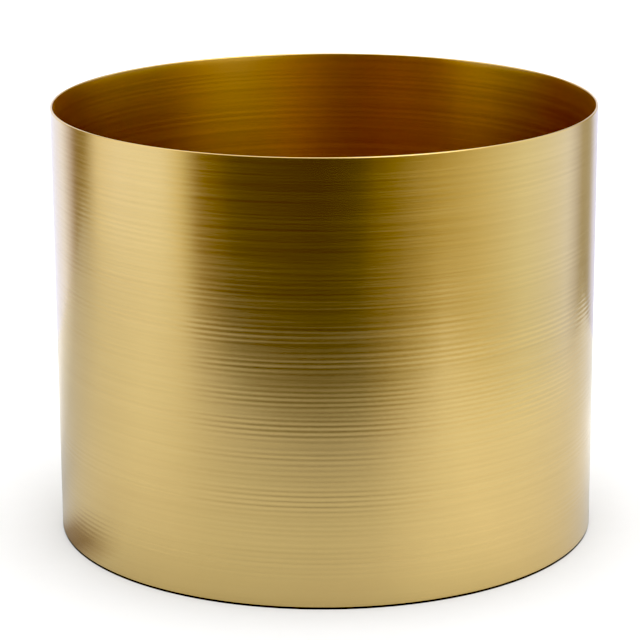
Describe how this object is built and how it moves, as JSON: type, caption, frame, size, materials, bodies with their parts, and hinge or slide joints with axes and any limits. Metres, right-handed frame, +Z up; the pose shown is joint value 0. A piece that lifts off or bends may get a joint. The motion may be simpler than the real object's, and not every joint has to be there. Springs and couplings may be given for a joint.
{
  "type": "planter pot",
  "caption": "Straight-sided cylindrical planter pot in brushed brass, open at the top with a thin rounded lip, with a pressed base and low rubber feet.",
  "frame": {"origin": "on the pot's axis, in the plane that the feet rest on", "axes": "+Z up along the pot's axis, out of its mouth; +X towards the sleeve's butt seam; +Y completes a right-handed frame"},
  "size_m": [0.25, 0.25, 0.2],
  "materials": {
    "brass_wall": "fine circumferential brushing, satin",
    "brass_weld": "dressed flush and brushed",
    "brass_base": "pressed sheet, dull satin",
    "solder": "dull tin-grey solder",
    "foot_rubber": "matte moulded rubber",
    "foot_adhesive": "thin adhesive foam"
  },
  "bodies": {
    "root": {"wall_sleeve": "brass_wall", "seam_weld": "brass_weld", "base_pan": "brass_base", "base_solder": "solder", "foot_1": "foot_rubber", "foot_2": "foot_rubber", "foot_3": "foot_rubber", "foot_4": "foot_rubber", "foot_adhesives": "foot_adhesive"}
  },
  "joints": []
}
